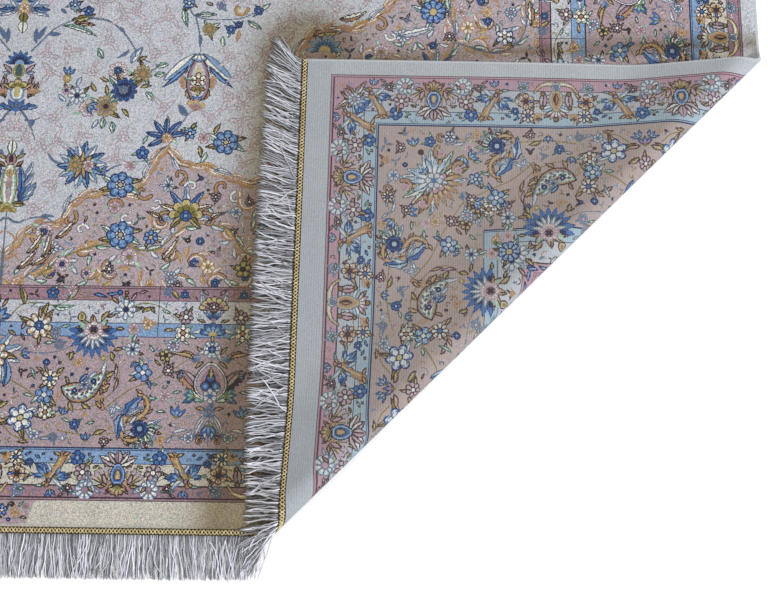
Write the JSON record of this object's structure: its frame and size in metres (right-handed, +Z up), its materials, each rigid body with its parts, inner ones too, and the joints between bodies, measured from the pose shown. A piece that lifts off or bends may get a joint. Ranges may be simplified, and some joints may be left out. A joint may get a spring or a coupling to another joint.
{
  "type": "persian rug",
  "caption": "Flat knotted silk rug with braided ends and fringes, pile up, one near corner turned over so that its back shows.",
  "frame": {"origin": "on the floor, under the centre of the rug's outline", "axes": "+X across the rug's width to the side with the turned corner, +Y along its length away from the near end, +Z up out of the pile"},
  "size_m": [1.3604, 2.0922, 0.0267],
  "materials": {
    "silk_cloth": "knotted silk pile with a satin sheen, ribbed matt back",
    "gold_braid": "two rows of slanting gold stitches with dark gaps",
    "silk_fringe": "silver-white silk threads"
  },
  "bodies": {
    "root": {"carpet": "silk_cloth", "braid_near": "gold_braid", "braid_far": "gold_braid", "fringe_near": "silk_fringe", "fringe_turned": "silk_fringe", "fringe_far": "silk_fringe"}
  },
  "joints": []
}
